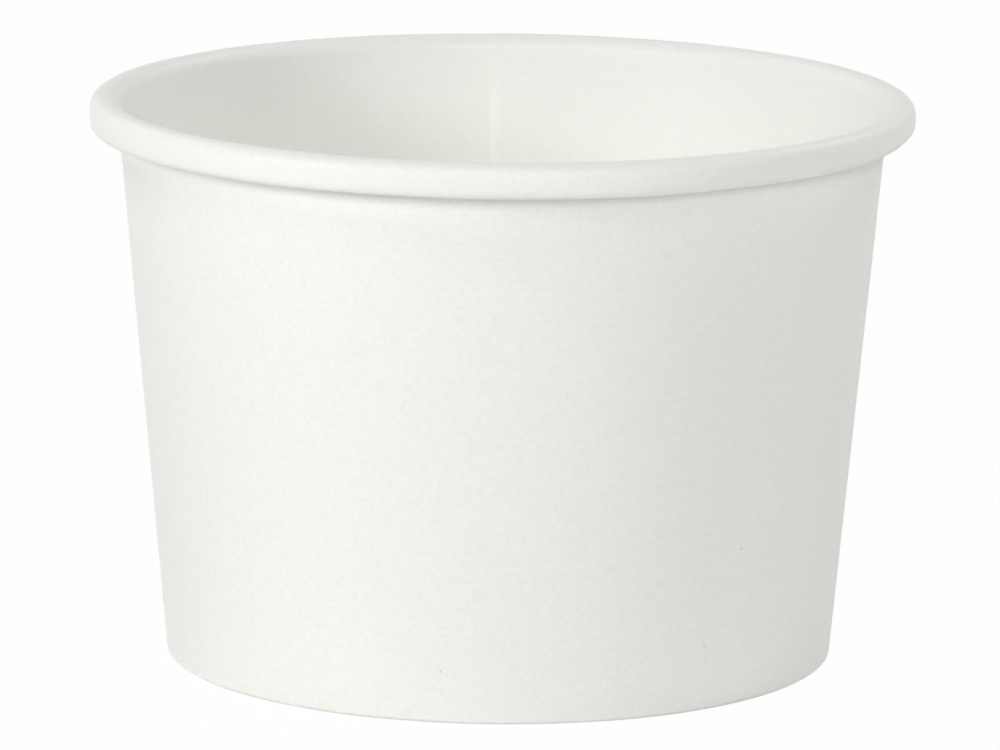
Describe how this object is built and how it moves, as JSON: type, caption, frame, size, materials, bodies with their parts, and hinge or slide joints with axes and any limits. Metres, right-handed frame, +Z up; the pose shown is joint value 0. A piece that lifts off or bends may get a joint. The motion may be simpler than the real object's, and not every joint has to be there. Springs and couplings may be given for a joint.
{
  "type": "paper soup cup",
  "caption": "Short tapered white paperboard cup with a rolled rim, a lap-sealed side seam and a recessed base, for hot soup or cold dessert.",
  "frame": {"origin": "on the cup's axis, in the plane that the foot stands on", "axes": "+Z up along the cup's axis, out of its mouth; -Y is the side that faces the viewer in the picture; the side seam is on the +Y side"},
  "size_m": [0.09, 0.09, 0.0617],
  "materials": {
    "coated_board": "satin",
    "base_board": "satin"
  },
  "bodies": {
    "root": {"sidewall": "coated_board", "base_disc": "base_board"}
  },
  "joints": []
}
